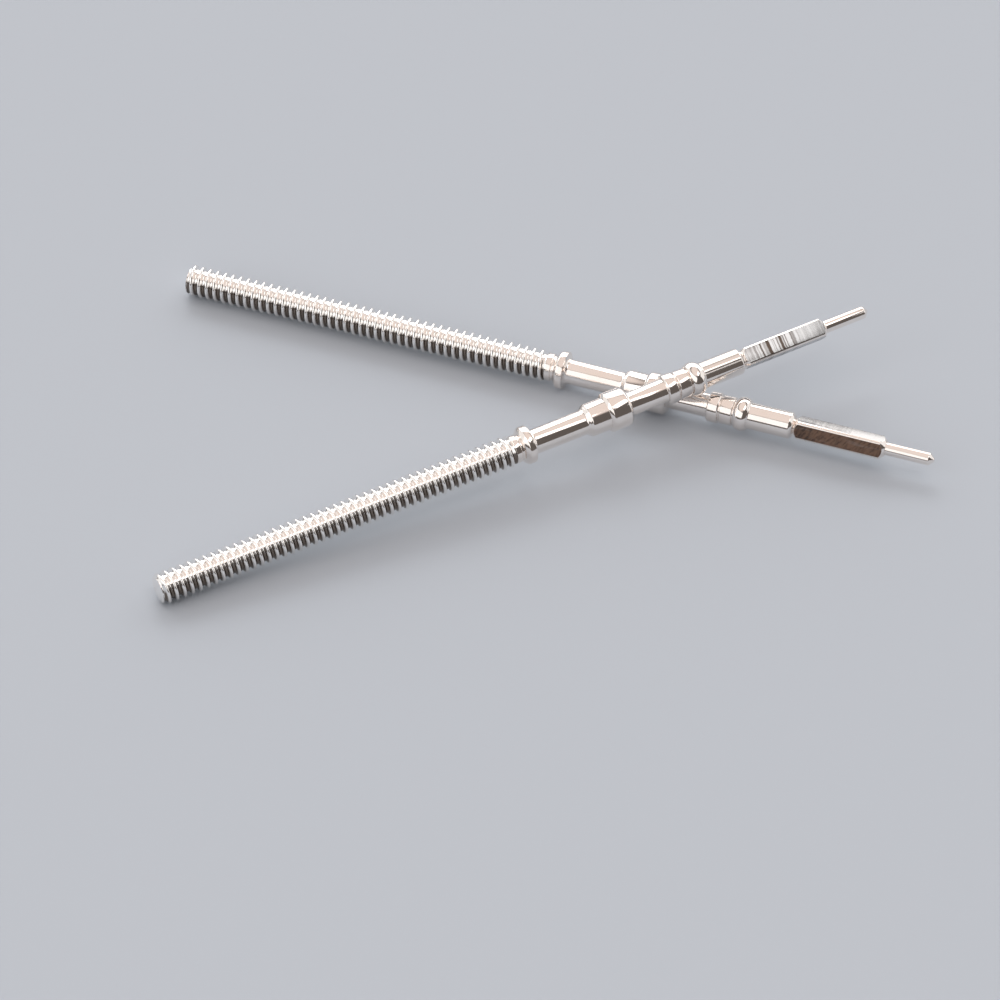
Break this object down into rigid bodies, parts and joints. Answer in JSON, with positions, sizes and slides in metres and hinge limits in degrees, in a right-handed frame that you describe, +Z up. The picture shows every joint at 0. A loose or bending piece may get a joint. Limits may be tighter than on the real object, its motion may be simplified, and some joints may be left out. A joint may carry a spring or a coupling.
{
  "type": "watch winding stem pair",
  "caption": "Two like long winding stems of polished steel for a wristwatch movement, laid crossed, one resting on the other.",
  "frame": {"origin": "on the ground, under the middle of the box round both stems", "axes": "+Z up, +X along the pair's longest side, with both crown ends towards -X and both inner tips towards +X"},
  "size_m": [0.0206, 0.0132, 0.0019],
  "materials": {
    "polished_steel": "bright turned and polished steel with a faint warm cast"
  },
  "bodies": {
    "lower": {"lower_stem": "polished_steel"},
    "upper": {"upper_stem": "polished_steel"}
  },
  "joints": [
    {"name": "upper_lift", "type": "slide", "parent": "lower", "child": "upper", "axis": [0, 0, 1], "range_m": [0, 0.03]}
  ]
}
